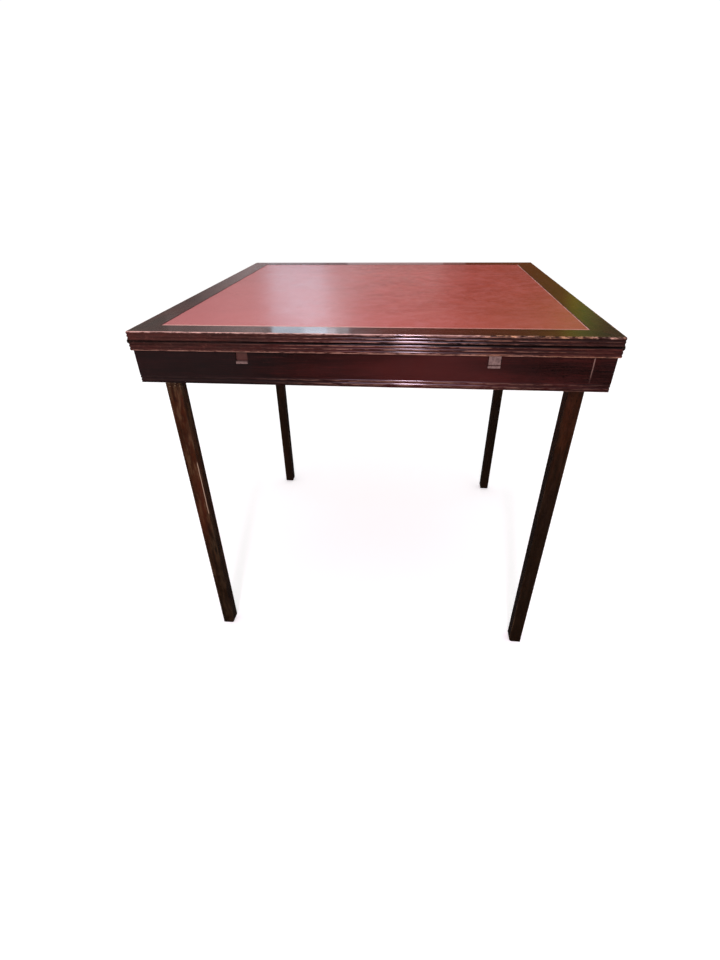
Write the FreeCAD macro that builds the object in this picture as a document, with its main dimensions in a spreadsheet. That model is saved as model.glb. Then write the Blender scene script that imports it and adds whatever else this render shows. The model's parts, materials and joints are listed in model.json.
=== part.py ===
import FreeCAD, Part
import os

import Sketcher

# Portable gaming table that folds flat. Two square framed leaves lie on a shallow box. The upper
# leaf is hinged at its front edge and opens forward onto two pull-out lopers. Four square legs turn
# on bolts inside the box and fold into the well beneath it, each along the next side of the square.
#
# Frame: millimetres, +Z up, the front edge towards -Y, the origin on the floor under the centre.
# Front and left are as a person standing in front of the table sees them.

DIMENSIONS = {
    "leaf_side": 762,               # side of each square leaf
    "table_top": 686,               # height of the closed table
    "leaf_thickness": 14.5,
    "leaf_gap": 1,                  # between the closed leaves
    "border": 40.5,                 # width of the leaf frame
    "bead_depth": 0.8,              # hollow between the beads of the reeded edges
    "tongue_thickness": 5,          # tongue of the leaf panel in its frame
    "tongue_reach": 6,
    "groove_slack": 0.5,
    "leather_drop": 0.3,            # leather surface below the frame
    "leather_thickness": 1.2,
    "baize_thickness": 1,
    "lower_panel_lift": 3,          # underside of the lower panel above the underside of its frame
    "apron_depth": 53,              # height of the box sides
    "apron_inset": 3.5,             # box sides behind the edges of the leaves
    "apron_thickness": 16,
    "apron_bead": 5.4,              # height of one bead along the foot of the box sides
    "apron_arris": 1.3,             # plain edge below those beads
    "divider_thickness": 4,
    "divider_drop": 15.5,           # top of the divider below the lower leaf
    "loper_centre": 199,            # lopers either side of the middle
    "loper_width": 19,
    "loper_height": 14.7,
    "loper_length": 460,
    "loper_lift": 0.4,              # air under and over a loper
    "loper_travel": 300,
    "left_loper_setback": 4,        # the left loper stands a little inside its notch
    "right_loper_setback": 0.2,
    "notch_width": 20.4,
    "notch_overcut": 1,             # how far the notches are cut past the wood behind and above
    "cap_width": 18,
    "cap_height": 13,
    "cap_thickness": 1.2,
    "cap_top_margin": 0.3,
    "wear_plate_thickness": 1,
    "wear_plate_width": 19,
    "lip_height": 3.5,              # front flange of the wear plate
    "guide_width": 8,
    "guide_slack": 0.5,
    "guide_reach": 470,
    "stop_pin_radius": 2,
    "stop_pin_length": 13,
    "stop_pin_margin": 14,          # stop pin ahead of the loper's rear end
    "stop_slot_slack": 0.4,
    "leg_size": 25,
    "leg_inset": 30,                # outer faces of the legs behind the edges of the leaves
    "pivot_height": 618,
    "leg_head": 12.5,               # top of the leg above its pivot
    "leg_head_radius": 10,
    "foot_radius": 7,               # inner corners of the foot
    "pivot_radius": 3,
    "running_clearance": 0.05,
    "leg_side_clearance": 0.3,
    "cheek_length": 60,
    "inner_cheek_thickness": 12,
    "cheek_lift": 2,                # foot of the leg blocks above the foot of the box
    "stop_height": 6,
    "stop_clearance": 0.2,
    "bolt_head_width": 10,
    "bolt_head_height": 4,
    "washer_radius": 7,
    "washer_thickness": 1,
    "bolt_tip_margin": 1.5,
    "spring_width": 14,
    "spring_thickness": 0.8,
    "spring_foot": 9,               # flat part of the spring on the head of the leg
    "spring_slope": 14,
    "spring_tab": 22,               # part screwed under the divider
    "spring_toe": 9,                # upturned end of the spring
    "spring_toe_rise": 3,
    "spring_screw_radius": 1.5,
    "spring_screw_length": 3,
    "spring_screw_head_radius": 3,
    "spring_screw_head_height": 1.2,
    "block_length": 60,
    "block_width": 15,
    "block_spacing": 250,
    "hinge_reach": 0.3,             # hinge axis in front of the edges of the leaves
    "hinge_plate_thickness": 2,
    "hinge_plate_height": 9.5,
    "hinge_plate_length": 46,
    "hinge_plate_setback": 5,       # plate behind the front edges of the leaves
    "hinge_plate_lift": 3.5,        # plate above or below the hinge axis
    "hinge_neck_height": 4.2,       # arm between the plate and the lug
    "hinge_neck_length": 7.5,
    "hinge_neck_overlap": 3.8,      # part of the arm alongside the plate
    "hinge_lug_radius": 2.8,
    "hinge_relief_radius": 3.1,
    "hinge_pin_radius": 1.2,
    "hinge_lug_gap": 0.1,
    "hinge_screw_radius": 1.3,
    "hinge_screw_head_radius": 2.6,
    "hinge_screw_head_depth": 1.3,
    "hinge_screw_length": 12,
    "hinge_screw_spacing": 17,
}

BEADS_ON_A_LEAF = 3
BEADS_ON_THE_APRON = 2
SIDES = ("front", "right", "back", "left")      # each a quarter turn after the one before
CORNERS = ("front_left", "front_right", "back_right", "back_left")

doc = FreeCAD.newDocument("GamingTable")
sheet = doc.addObject("Spreadsheet::Sheet", "Dims")
for row, (alias, number) in enumerate(DIMENSIONS.items(), start=1):
    sheet.set("A%d" % row, alias)
    sheet.set("B%d" % row, str(number))
    sheet.setAlias("B%d" % row, alias)
doc.recompute()


class Size:
    """A length held as a number and as the spreadsheet expression that gives it."""

    def __init__(self, number, text):
        self.number = number
        self.text = text

    def __add__(self, other):
        other = size(other)
        return Size(self.number + other.number, "(%s + %s)" % (self.text, other.text))

    def __sub__(self, other):
        other = size(other)
        return Size(self.number - other.number, "(%s - %s)" % (self.text, other.text))

    def __mul__(self, factor):
        return Size(self.number * factor, "(%s * %s)" % (self.text, factor))

    def __truediv__(self, divisor):
        return Size(self.number / divisor, "(%s / %s)" % (self.text, divisor))

    def __neg__(self):
        return Size(-self.number, "(0 - %s)" % self.text)


def size(value):
    """A driving dimension by its name, or a plain number, as a Size."""
    if isinstance(value, Size):
        return value
    if isinstance(value, str):
        return Size(float(sheet.get(value)), "Dims." + value)
    return Size(float(value), "(%s)" % value)


# ---------------------------------------------------------------- shared levels and places

half_leaf = size("leaf_side") / 2
hinge_level = size("table_top") - "leaf_thickness" - size("leaf_gap") / 2
upper_leaf_bottom = size("table_top") - "leaf_thickness"
lower_leaf_bottom = upper_leaf_bottom - "leaf_gap" - "leaf_thickness"
box_bottom = lower_leaf_bottom - "apron_depth"
box_outside = half_leaf - "apron_inset"
box_inside = box_outside - "apron_thickness"
divider_top = lower_leaf_bottom - "divider_drop"
divider_bottom = divider_top - "divider_thickness"
panel_opening = half_leaf - "border"
leg_outside = half_leaf - "leg_inset"
leg_inside = leg_outside - "leg_size"
leg_centre = leg_outside - size("leg_size") / 2
hinge_front = half_leaf + "hinge_reach"
quarter_turn = 90


# ---------------------------------------------------------------- small helpers

def add(kind, name):
    return doc.addObject(kind, name)


def place(item, x=0, y=0, z=0, rotation=None):
    """Stands an object at x, y, z, each driven by the sheet."""
    if rotation is not None:
        item.Placement = FreeCAD.Placement(FreeCAD.Vector(), rotation)
    for axis, value in zip("xyz", (x, y, z)):
        item.setExpression("Placement.Base." + axis, size(value).text)
    return item


def about_z(degrees):
    return FreeCAD.Rotation(FreeCAD.Vector(0, 0, 1), degrees)


ALONG_X = FreeCAD.Rotation(FreeCAD.Vector(0, 1, 0), 90)
ALONG_MINUS_X = FreeCAD.Rotation(FreeCAD.Vector(0, 1, 0), -90)
DOWNWARD = FreeCAD.Rotation(FreeCAD.Vector(1, 0, 0), 180)


def box(name, low, high):
    """A box between two corners."""
    item = add("Part::Box", name)
    for side, start, end in zip(("Length", "Width", "Height"), low, high):
        item.setExpression(side, (size(end) - size(start)).text)
    return place(item, *low)


def cylinder(name, radius, length, at, rotation=None):
    item = add("Part::Cylinder", name)
    item.setExpression("Radius", size(radius).text)
    item.setExpression("Height", size(length).text)
    return place(item, *at, rotation=rotation)


def cone(name, start_radius, end_radius, length, at, rotation=None):
    item = add("Part::Cone", name)
    item.setExpression("Radius1", size(start_radius).text)
    item.setExpression("Radius2", size(end_radius).text)
    item.setExpression("Height", size(length).text)
    return place(item, *at, rotation=rotation)


def hexagon(name, across_flats, length, at, rotation=None):
    item = add("Part::Prism", name)
    item.Polygon = 6
    item.setExpression("Circumradius", "%s / 2 / cos(30)" % size(across_flats).text)
    item.setExpression("Height", size(length).text)
    return place(item, *at, rotation=rotation)


def fuse(name, parts):
    item = add("Part::MultiFuse", name)
    item.Shapes = parts
    item.Refine = True
    return item


def cut(name, base, tools):
    item = add("Part::Cut", name)
    item.Base = base
    item.Tool = tools[0] if len(tools) == 1 else fuse(name + "_tools", tools)
    return item


def common(name, base, tool):
    item = add("Part::Common", name)
    item.Base = base
    item.Tool = tool
    return item


def group(name, parts):
    """Several equal separate solids kept as one sub-part."""
    item = add("Part::Compound", name)
    item.Links = parts
    return item


def mirrored(name, source):
    """The same piece on the left side of the table."""
    item = add("Part::Mirroring", name)
    item.Source = source
    item.Base = FreeCAD.Vector()
    item.Normal = FreeCAD.Vector(1, 0, 0)
    return item


def copy_of(name, source, quarter_turns=0, z=0):
    """The same piece turned about the middle of the table and raised."""
    item = add("Part::Compound", name)
    item.Links = [source]
    return place(item, z=z, rotation=about_z(quarter_turn * quarter_turns))


def plane_of(body, role):
    return [item for item in body.Origin.OriginFeatures if item.Role == role][0]


def hold_point(sketch, geometry, end, x, y):
    """Fixes one end of a sketch line or arc at x, y from the sketch's origin."""
    for kind, value, zero_axis in (("DistanceX", x, -2), ("DistanceY", y, -1)):
        if value.number == 0:
            sketch.addConstraint(Sketcher.Constraint("PointOnObject", geometry, end, zero_axis))
            continue
        index = sketch.addConstraint(
            Sketcher.Constraint(kind, -1, 1, geometry, end, value.number))
        name = "%s_%d_%d" % (kind, geometry, end)
        sketch.renameConstraint(index, name)
        sketch.setExpression("Constraints." + name, value.text)


def arc_radius(chord, height):
    """Radius of an arc from its chord and its height."""
    number = (chord.number ** 2 / 4 + height.number ** 2) / (2 * height.number)
    text = "((%s)^2 / 4 + (%s)^2) / (2 * %s)" % (chord.text, height.text, height.text)
    return Size(number, text)


def outline(body, role, steps):
    """A closed sketch. A step is (x, y), or (x, y, radius) for a corner reached by an arc that
    bulges to the right of the way the outline runs."""
    sketch = body.newObject("Sketcher::SketchObject", body.Name + "_outline")
    sketch.AttachmentSupport = [(plane_of(body, role), "")]
    sketch.MapMode = "FlatFace"
    corners = [(size(step[0]), size(step[1])) for step in steps]
    for index, step in enumerate(steps):
        before = FreeCAD.Vector(corners[index - 1][0].number, corners[index - 1][1].number, 0)
        here = FreeCAD.Vector(corners[index][0].number, corners[index][1].number, 0)
        if len(step) == 2:
            sketch.addGeometry(Part.LineSegment(before, here))
            continue
        chord = here - before
        radius = size(step[2]).number
        height = radius - (radius ** 2 - min(chord.Length / 2, radius) ** 2) ** 0.5
        outward = FreeCAD.Vector(chord.y, -chord.x, 0).normalize()
        sketch.addGeometry(Part.Arc(before, (before + here) / 2 + outward * height, here))
    count = len(steps)
    for index, step in enumerate(steps):
        hold_point(sketch, index, 2, *corners[index])
        sketch.addConstraint(Sketcher.Constraint("Coincident", index, 2, (index + 1) % count, 1))
        if len(step) == 3:
            number = sketch.addConstraint(
                Sketcher.Constraint("Radius", index, size(step[2]).number))
            sketch.renameConstraint(number, "Radius_%d" % index)
            sketch.setExpression("Constraints.Radius_%d" % index, size(step[2]).text)
    return sketch


def pad(body, sketch, length, symmetric=True):
    feature = body.newObject("PartDesign::Pad", body.Name + "_pad")
    feature.Profile = sketch
    feature.SideType = "Symmetric" if symmetric else "One side"
    feature.setExpression("Length", size(length).text)
    return feature


def round_edges(body, base, name, edges, radius):
    feature = body.newObject("PartDesign::Fillet", name)
    feature.Base = (base, edges)
    feature.setExpression("Radius", size(radius).text)
    return feature


SUBPARTS = []


def subpart(item, label):
    """Names a finished sub-part. Its label is its file name."""
    item.Label = label
    SUBPARTS.append(item)
    return item


# The front quarter of the table, between the two diagonals: it mitres every rail at both ends.
mitre_sector = add("Part::Box", "mitre_sector")
for edge in ("Length", "Width", "Height"):
    mitre_sector.setExpression(edge, size("leaf_side").text)
place(mitre_sector, rotation=about_z(225))


def beads_down(face, top, pitch, depth, count):
    """Steps down a reeded edge from top: bead after bead, their crests on the face."""
    radius = arc_radius(size(pitch), size(depth))
    return [(face + depth, top - pitch * number, radius) for number in range(1, count + 1)]


# ---------------------------------------------------------------- leaf frames

def leaf_rail_blank():
    """Front rail of a leaf, standing on z 0: reeded outside, grooved inside for the panel."""
    thickness = size("leaf_thickness")
    groove_low = (thickness - "tongue_thickness") / 2
    groove_high = (thickness + "tongue_thickness") / 2
    groove_back = -panel_opening - "tongue_reach" - "groove_slack"
    body = add("PartDesign::Body", "leaf_rail_blank")
    steps = [(-panel_opening, 0),
             (-panel_opening, groove_low),
             (groove_back, groove_low),
             (groove_back, groove_high),
             (-panel_opening, groove_high),
             (-panel_opening, thickness),
             (-half_leaf + "bead_depth", thickness)]
    pitch = thickness / BEADS_ON_A_LEAF
    steps += beads_down(-half_leaf, thickness, pitch, "bead_depth", BEADS_ON_A_LEAF)
    pad(body, outline(body, "YZ_Plane", steps), "leaf_side")
    return body


def leaf_frame(prefix, bottom, hinge_recesses):
    """Four mitred rails. The front, left and right ones are cut away for the side hinges."""
    for turns, side in enumerate(SIDES):
        rail = copy_of("%s_%s_mitred" % (prefix, side), mitred_leaf_rail, turns, bottom)
        name = "%s_%s_rail" % (prefix, side)
        if side == "back":
            subpart(rail, name)
        else:
            subpart(cut(name, rail, [hinge_recesses]), name)


def leaf_panel(prefix, bottom, low, high):
    """The board inside a leaf frame, with a tongue all round."""
    middle = bottom + size("leaf_thickness") / 2
    half_tongue = size("tongue_thickness") / 2
    reach = panel_opening + "tongue_reach"
    board = box(prefix + "_board", (-panel_opening, -panel_opening, low),
                (panel_opening, panel_opening, high))
    tongue = box(prefix + "_tongue", (-reach, -reach, middle - half_tongue),
                 (reach, reach, middle + half_tongue))
    subpart(fuse(prefix + "_panel", [board, tongue]), prefix + "_panel")


def inlay(name, low, high):
    """A sheet of leather or baize glued flat into its leaf."""
    subpart(box(name, (-panel_opening, -panel_opening, low),
                (panel_opening, panel_opening, high)), name)


# ---------------------------------------------------------------- side hinges of the upper leaf

plate_inside = half_leaf - "hinge_plate_thickness"
lug_middle = half_leaf - size("hinge_plate_thickness") / 2
lug_gap = size("hinge_lug_gap") / 2
plate_front = -half_leaf + "hinge_plate_setback"
plate_back = plate_front + "hinge_plate_length"


def hinge_disc(name, radius, inside, outside):
    """A disc round the hinge axis, between two distances from the middle of the table."""
    return cylinder(name, radius, size(outside) - inside,
                    (inside, -hinge_front, hinge_level), ALONG_X)


def hinge_half(name, upwards, lug_inside, lug_outside, lug_radius, plate_outside):
    """Plate, neck and lug of one half of the right-hand hinge."""
    lift = size("hinge_plate_lift")
    far = lift + "hinge_plate_height"
    near = size("leaf_gap") / 2
    neck_far = near + "hinge_neck_height"
    if upwards:
        plate_low, plate_high = hinge_level + lift, hinge_level + far
        neck_low, neck_high = hinge_level + near, hinge_level + neck_far
    else:
        plate_low, plate_high = hinge_level - far, hinge_level - lift
        neck_low, neck_high = hinge_level - neck_far, hinge_level - near
    neck_back = plate_front + "hinge_neck_overlap"
    neck_front = neck_back - "hinge_neck_length"
    plate = box(name + "_plate", (plate_inside, plate_front, plate_low),
                (plate_outside, plate_back, plate_high))
    neck = box(name + "_neck", (lug_inside, neck_front, neck_low),
               (lug_outside, neck_back, neck_high))
    disc = hinge_disc(name + "_disc", lug_radius, lug_inside, lug_outside)
    return fuse(name, [plate, neck, disc])


def hinge_screw(name, number, level):
    """One countersunk screw, driven inwards from the outside of the plate."""
    middle = (plate_front + plate_back) / 2
    y = middle + size("hinge_screw_spacing") * (number - 1)
    head = cone(name + "_head", "hinge_screw_head_radius", "hinge_screw_radius",
                "hinge_screw_head_depth", (half_leaf, y, level), ALONG_MINUS_X)
    shank = cylinder(name + "_shank", "hinge_screw_radius", "hinge_screw_length",
                     (half_leaf, y, level), ALONG_MINUS_X)
    return fuse(name, [head, shank])


def hinge_pocket(name, upwards):
    """What both side hinges take out of a leaf, with room for the other half's lug to turn."""
    relief_inside = plate_inside - lug_gap
    beyond = half_leaf + "hinge_plate_thickness"
    half = hinge_half(name + "_half", upwards, plate_inside, beyond, "hinge_lug_radius", beyond)
    relief = hinge_disc(name + "_relief", "hinge_relief_radius", relief_inside, beyond)
    right = fuse(name + "_right", [half, relief] + screws[upwards])
    return fuse(name, [right, mirrored(name + "_left", right)])


plate_offset = size("hinge_plate_lift") + size("hinge_plate_height") / 2
screws = {}
for upwards, word in ((True, "upper"), (False, "lower")):
    level = hinge_level + plate_offset if upwards else hinge_level - plate_offset
    screws[upwards] = [hinge_screw("%s_screw_%d" % (word, number + 1), number, level)
                       for number in range(3)]
    left = [mirrored(screw.Name + "_left", screw) for screw in screws[upwards]]
    label = word + "_hinge_screws"
    subpart(group(label, screws[upwards] + left), label)

# The lower half's lug is the inner layer and holds the pin; the upper half's lug turns outside it.
pin = hinge_disc("right_pin", "hinge_pin_radius", plate_inside, half_leaf)
subpart(group("hinge_pins", [pin, mirrored("left_pin", pin)]), "hinge_pins")
pin_hole = hinge_disc("pin_hole", size("hinge_pin_radius") + "running_clearance",
                      plate_inside, half_leaf)
pin_seat = hinge_disc("pin_seat", "hinge_pin_radius", plate_inside, half_leaf)
upper_half = hinge_half("upper_hinge_half", True, lug_middle + lug_gap, half_leaf,
                        "hinge_lug_radius", half_leaf)
lower_half = hinge_half("lower_hinge_half", False, plate_inside, lug_middle - lug_gap,
                        "hinge_lug_radius", half_leaf)
for word, half, hole, upwards in (("upper", upper_half, pin_hole, True),
                                  ("lower", lower_half, pin_seat, False)):
    right = cut("right_%s_hinge" % word, half, [hole] + screws[upwards])
    subpart(right, right.Name)
    subpart(mirrored("left_%s_hinge" % word, right), "left_%s_hinge" % word)


# ---------------------------------------------------------------- the two leaves

mitred_leaf_rail = common("leaf_rail_mitred", leaf_rail_blank(), mitre_sector)
leaf_frame("upper", upper_leaf_bottom, hinge_pocket("upper_hinge_pocket", True))
leaf_frame("lower", lower_leaf_bottom, hinge_pocket("lower_hinge_pocket", False))

leather_top = size("table_top") - "leather_drop"
leather_bottom = leather_top - "leather_thickness"
upper_baize_top = upper_leaf_bottom + "baize_thickness"
lower_leaf_top = lower_leaf_bottom + "leaf_thickness"
lower_baize_bottom = lower_leaf_top - "baize_thickness"
leaf_panel("upper", upper_leaf_bottom, upper_baize_top, leather_bottom)
leaf_panel("lower", lower_leaf_bottom, lower_leaf_bottom + "lower_panel_lift", lower_baize_bottom)
inlay("leather_top", leather_bottom, leather_top)
inlay("upper_baize", upper_leaf_bottom, upper_baize_top)
inlay("lower_baize", lower_baize_bottom, lower_leaf_top)


# ---------------------------------------------------------------- box

def apron_rail_blank():
    """Front side of the box: plain above, two beads and a plain edge along its foot."""
    foot = box_bottom + "apron_arris"
    beads_top = foot + size("apron_bead") * BEADS_ON_THE_APRON
    hollow = -box_outside + "bead_depth"
    body = add("PartDesign::Body", "apron_rail_blank")
    steps = [(-box_inside, box_bottom),
             (-box_inside, lower_leaf_bottom),
             (-box_outside, lower_leaf_bottom),
             (-box_outside, beads_top),
             (hollow, beads_top)]
    steps += beads_down(-box_outside, beads_top, size("apron_bead"), "bead_depth",
                        BEADS_ON_THE_APRON)
    steps += [(-box_outside, foot),
              (-box_outside, box_bottom)]
    pad(body, outline(body, "YZ_Plane", steps), box_outside * 2)
    return body


def notch(name, x):
    """Opening in the front of the box for a loper and the wear plate under it."""
    half = size("notch_width") / 2
    return box(name, (x - half, -half_leaf, divider_top - "wear_plate_thickness"),
               (x + half, -box_inside + "notch_overcut", lower_leaf_bottom + "notch_overcut"))


loper_places = {"left": -size("loper_centre"), "right": size("loper_centre")}
mitred_apron_rail = common("apron_rail_mitred", apron_rail_blank(), mitre_sector)
for turns, side in enumerate(SIDES):
    rail = copy_of("apron_%s_mitred" % side, mitred_apron_rail, turns)
    if side == "front":
        notches = [notch(word + "_notch", x) for word, x in loper_places.items()]
        rail = cut("front_rail", rail, notches)
    subpart(rail, side + "_rail")


def block(name, x, y):
    """One glue block in the angle between the front of the box and the lower leaf."""
    half = size("block_length") / 2
    return box(name, (x - half, y, divider_top), (x + half, y + "block_width", lower_leaf_bottom))


front_blocks = fuse("front_blocks", [
    block("block_%d" % number, size("block_spacing") * (number - 1), -box_inside)
    for number in range(3)])
subpart(group("glue_blocks", [copy_of("blocks_" + side, front_blocks, turns)
                              for turns, side in enumerate(SIDES)]), "glue_blocks")


# ---------------------------------------------------------------- lopers and what guides them

loper_bottom = divider_top + "loper_lift"
loper_top = loper_bottom + "loper_height"
setbacks = {"left": size("left_loper_setback"), "right": size("right_loper_setback")}
stop_slots = []


def loper(word):
    """A sliding support for the open leaf, with the pin that stops it from coming right out."""
    x = loper_places[word]
    half = size("loper_width") / 2
    front = -box_outside + setbacks[word]
    rear = front + "loper_length"
    bar = box(word + "_bar", (x - half, front, loper_bottom), (x + half, rear, loper_top))
    pin_y = rear - "stop_pin_margin"
    pin_bottom = divider_bottom + "stop_slot_slack"
    stop = cylinder(word + "_stop_pin", "stop_pin_radius", "stop_pin_length", (x, pin_y, pin_bottom))
    subpart(cut(word + "_loper", bar, [stop]), word + "_loper")
    subpart(stop, word + "_loper_stop_pin")
    reach = size("stop_pin_radius") + "stop_slot_slack"
    stop_slots.append(box(word + "_slot",
                          (x - reach, pin_y - "loper_travel" - reach, divider_bottom),
                          (x + reach, pin_y + reach, divider_top)))
    for place_word, sign in (("outer", -1 if word == "left" else 1),
                             ("inner", 1 if word == "left" else -1)):
        near = (half + "guide_slack") * sign
        far = near + size("guide_width") * sign
        low, high = (near, far) if sign > 0 else (far, near)
        name = "%s_loper_%s_guide" % (word, place_word)
        subpart(box(name, (x + low, -box_inside, divider_top),
                    (x + high, -box_inside + "guide_reach", lower_leaf_bottom)), name)


def wear_plate(word):
    """A steel angle on the floor of a notch, its flange turned down over the front of the box."""
    x = loper_places[word]
    half = size("wear_plate_width") / 2
    sheet_front = -box_outside - "wear_plate_thickness"
    floor = box(word + "_wear_floor", (x - half, sheet_front, divider_top - "wear_plate_thickness"),
                (x + half, -box_inside, divider_top))
    flange = box(word + "_wear_flange", (x - half, sheet_front, divider_top - "lip_height"),
                 (x + half, -box_outside, divider_top))
    subpart(fuse(word + "_wear_plate", [floor, flange]), word + "_wear_plate")


for word in loper_places:
    loper(word)
    wear_plate(word)

cap_front = -box_outside + setbacks["right"] - "cap_thickness"
cap_top = loper_top - "cap_top_margin"
cap_half = size("cap_width") / 2
subpart(box("right_loper_cap",
            (loper_places["right"] - cap_half, cap_front, cap_top - "cap_height"),
            (loper_places["right"] + cap_half, -box_outside + setbacks["right"], cap_top)),
        "right_loper_cap")


# ---------------------------------------------------------------- legs and their fittings
# Everything at a leg is drawn at the front left corner, where the leg folds backwards, and is
# turned a quarter turn for each corner after it.

def edges_where(shape, test):
    """Names of the edges whose two ends both pass the test."""
    return ["Edge%d" % (number + 1) for number, edge in enumerate(shape.Edges)
            if len(edge.Vertexes) == 2 and all(test(vertex.Point) for vertex in edge.Vertexes)]


def leg_blank():
    """A square leg with a rounded head and rounded inner corners at its foot."""
    outside = -leg_outside
    inside = -leg_inside
    top = size("pivot_height") + "leg_head"
    body = add("PartDesign::Body", "leg_blank")
    head = size("leg_head_radius")
    steps = [(inside, 0), (inside, top - head), (inside - head, top, head),
             (outside + head, top), (outside, top - head, head), (outside, 0)]
    sketch = outline(body, "YZ_Plane", steps)
    feature = pad(body, sketch, "leg_size", symmetric=False)
    sketch.AttachmentOffset = FreeCAD.Placement(FreeCAD.Vector(0, 0, -leg_outside.number),
                                                FreeCAD.Rotation())
    sketch.setExpression("AttachmentOffset.Base.z", (-leg_outside).text)
    doc.recompute()
    edges = edges_where(feature.Shape, lambda p: abs(p.z) < 1e-6
                        and (abs(p.x - inside.number) < 1e-6))
    edges += edges_where(feature.Shape, lambda p: abs(p.z) < 1e-6
                         and (abs(p.y - inside.number) < 1e-6))
    round_edges(body, feature, "leg_foot", edges, "foot_radius")
    return body


pivot_hole = cylinder("pivot_hole", size("pivot_radius") + "running_clearance",
                      size("leg_size") * 2,
                      (-leg_outside - size("leg_size") / 2, -leg_centre, "pivot_height"), ALONG_X)
leg = cut("leg", leg_blank(), [pivot_hole])

outer_cheek_face = -leg_outside - "leg_side_clearance"
inner_cheek_face = -leg_inside + "leg_side_clearance"
inner_cheek_back = inner_cheek_face + "inner_cheek_thickness"
block_bottom = box_bottom + "cheek_lift"
cheek_far = -box_inside + "cheek_length"


def cheek(name, low_x, high_x):
    """A block beside the leg, bored for the pivot bolt."""
    blank = box(name + "_blank", (low_x, -box_inside, block_bottom),
                (high_x, cheek_far, divider_bottom))
    bore = cylinder(name + "_bore", "pivot_radius", high_x - low_x,
                    (low_x, -leg_centre, "pivot_height"), ALONG_X)
    return cut(name, blank, [bore])


outer_cheek = cheek("outer_cheek", -box_inside, outer_cheek_face)
inner_cheek = cheek("inner_cheek", inner_cheek_face, inner_cheek_back)
stop_block = box("stop_block", (outer_cheek_face, -box_inside, block_bottom),
                 (inner_cheek_face, -leg_outside - "stop_clearance",
                  block_bottom + "stop_height"))

bolt_tip = -box_inside + "bolt_tip_margin"
washer_front = inner_cheek_back + "washer_thickness"
washer_blank = cylinder("washer_blank", "washer_radius", "washer_thickness",
                        (inner_cheek_back, -leg_centre, "pivot_height"), ALONG_X)
washer_hole = cylinder("washer_hole", "pivot_radius", "washer_thickness",
                       (inner_cheek_back, -leg_centre, "pivot_height"), ALONG_X)
washer = cut("washer", washer_blank, [washer_hole])
bolt = fuse("bolt", [
    cylinder("bolt_shank", "pivot_radius", washer_front - bolt_tip,
             (bolt_tip, -leg_centre, "pivot_height"), ALONG_X),
    hexagon("bolt_head", "bolt_head_width", "bolt_head_height",
            (washer_front, -leg_centre, "pivot_height"), ALONG_X)])


spring_foot_end = -leg_centre + size("spring_foot") / 2
spring_slope_end = spring_foot_end + "spring_slope"


def leg_spring():
    """A bent steel strip under the divider that presses on the flat head of the leg."""
    thickness = size("spring_thickness")
    under = divider_bottom - thickness
    head_top = size("pivot_height") + "leg_head"
    foot_start = spring_foot_end - "spring_foot"
    toe = foot_start - "spring_toe"
    tab_end = spring_slope_end + "spring_tab"
    body = add("PartDesign::Body", "spring_strip")
    steps = [(spring_foot_end, head_top),
             (spring_slope_end, under),
             (tab_end, under),
             (tab_end, divider_bottom),
             (spring_slope_end - thickness / 2, divider_bottom),
             (spring_foot_end - thickness / 2, head_top + thickness),
             (foot_start, head_top + thickness),
             (toe, head_top + thickness + "spring_toe_rise"),
             (toe, head_top + "spring_toe_rise"),
             (foot_start, head_top)]
    pad(body, outline(body, "YZ_Plane", steps), "spring_width")
    return place(body, x=-leg_centre)


spring_screw_y = spring_slope_end + size("spring_tab") / 2
screw_under = divider_bottom - "spring_thickness"
spring_screw = fuse("spring_screw", [
    cylinder("spring_screw_shank", "spring_screw_radius", "spring_screw_length",
             (-leg_centre, spring_screw_y, screw_under)),
    cone("spring_screw_head", "spring_screw_radius", "spring_screw_head_radius",
         "spring_screw_head_height", (-leg_centre, spring_screw_y, screw_under), DOWNWARD)])
spring = cut("spring", leg_spring(), [spring_screw])

for turns, corner in enumerate(CORNERS):
    for source, word in ((leg, "leg"), (outer_cheek, "outer_cheek"), (inner_cheek, "inner_cheek"),
                         (stop_block, "stop_block"), (spring, "leg_spring")):
        name = "%s_%s" % (corner, word)
        subpart(copy_of(name, source, turns), name)
fittings = {}
for source, label in ((bolt, "pivot_bolts"), (washer, "pivot_washers"),
                      (spring_screw, "spring_screws")):
    fittings[label] = group(label, [copy_of("%s_%s" % (label, corner), source, turns)
                                    for turns, corner in enumerate(CORNERS)])
    subpart(fittings[label], label)

divider_board = box("divider_board", (-box_inside, -box_inside, divider_bottom),
                    (box_inside, box_inside, divider_top))
subpart(cut("divider_panel", divider_board, stop_slots + [fittings["spring_screws"]]),
        "divider_panel")


# ---------------------------------------------------------------- checks and files

doc.recompute()
faults = ["%s is %s" % (item.Name, ", ".join(item.State)) for item in doc.Objects
          if "Invalid" in item.State or "Error" in item.State]
for item in SUBPARTS:
    shape = item.Shape
    if shape.isNull() or not shape.isValid() or not shape.Solids:
        faults.append("%s has no valid solid" % item.Label)
if faults:
    raise SystemExit("\n".join(faults))

os.makedirs("parts", exist_ok=True)
for item in SUBPARTS:
    item.Shape.exportStep(os.path.join("parts", item.Label + ".step"))
print("%d sub-parts, %d solids" % (len(SUBPARTS), sum(len(item.Shape.Solids) for item in SUBPARTS)))
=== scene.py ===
import json
import math
from collections import namedtuple

import bmesh
import bpy
from mathutils import Matrix, Vector, noise


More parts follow.
